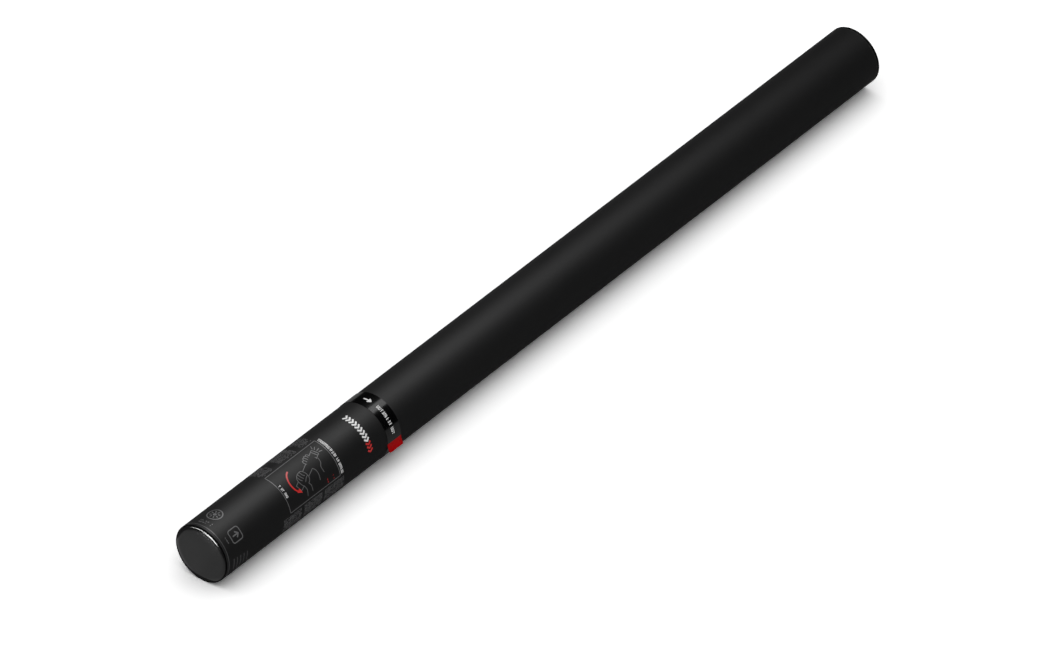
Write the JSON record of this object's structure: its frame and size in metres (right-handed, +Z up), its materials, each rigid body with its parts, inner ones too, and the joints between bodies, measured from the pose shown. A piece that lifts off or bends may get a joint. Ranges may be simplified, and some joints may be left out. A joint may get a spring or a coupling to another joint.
{
  "type": "confetti popper",
  "caption": "Hand-held twist-fire confetti popper: a long black tube with a turning grip, gas cylinder, valve, sealed joint, pull tab and charge.",
  "frame": {"origin": "centre of the flat base face, on the tube's axis", "axes": "+X along the tube from the base to the muzzle, +Z up as the popper lies"},
  "size_m": [0.8, 0.053, 0.0506],
  "materials": {
    "cardboard": "raw spiral-wound board",
    "black_paper": "matte laminated print",
    "grey_plastic": "moulded",
    "pale_plastic": "moulded",
    "black_plastic": "fine matte face with a glossy rim",
    "seal_rubber": "smooth",
    "foam": "closed-cell foam",
    "aluminium": "drawn, satin",
    "steel": "plated",
    "brass": "turned",
    "card": "grey board",
    "foil": "metallised",
    "seal_tape": "glossy tape",
    "tab_red": "glossy tape"
  },
  "bodies": {
    "barrel": {"barrel_tube": "cardboard", "barrel_wrap": "black_paper", "breech_coupler": "grey_plastic", "coupler_o_ring": "seal_rubber"},
    "grip": {"grip_tube": "cardboard", "grip_wrap": "black_paper", "base_cap": "black_plastic", "base_pad": "foam", "gas_cylinder": "aluminium", "cylinder_collar": "pale_plastic", "neck_gasket": "seal_rubber", "valve_body": "pale_plastic", "thrust_washer": "steel", "snap_ring": "steel"},
    "plug": {"valve_plug": "brass", "plug_o_ring": "seal_rubber", "cross_pin": "steel"},
    "charge": {"wad_disc": "card", "foam_wad": "foam", "foil_slips": "foil"},
    "cap": {"muzzle_cap": "black_plastic"},
    "seal": {"seal_band": "seal_tape", "seal_pull_tab": "tab_red"}
  },
  "joints": [
    {"name": "grip_twist", "type": "hinge", "parent": "barrel", "child": "grip", "pos_m": [0.2, 0, 0], "axis": [1, 0, 0], "range_deg": [0, 90]},
    {"name": "plug_slide", "type": "slide", "parent": "barrel", "child": "plug", "axis": [1, 0, 0], "range_m": [0, 0.01]},
    {"name": "charge_shot", "type": "slide", "parent": "barrel", "child": "charge", "axis": [1, 0, 0], "range_m": [0, 0.5525]},
    {"name": "cap_pop", "type": "slide", "parent": "barrel", "child": "cap", "axis": [1, 0, 0], "range_m": [0, 0.5525]},
    {"name": "seal_peel", "type": "slide", "parent": "barrel", "child": "seal", "axis": [-1, 0, 0], "range_m": [0, 0.212]}
  ],
  "couplings": [
    {"joint": "plug_slide", "follows": "grip_twist", "m_per_rad": 0.006366},
    {"joint": "cap_pop", "follows": "charge_shot", "ratio": 1}
  ]
}
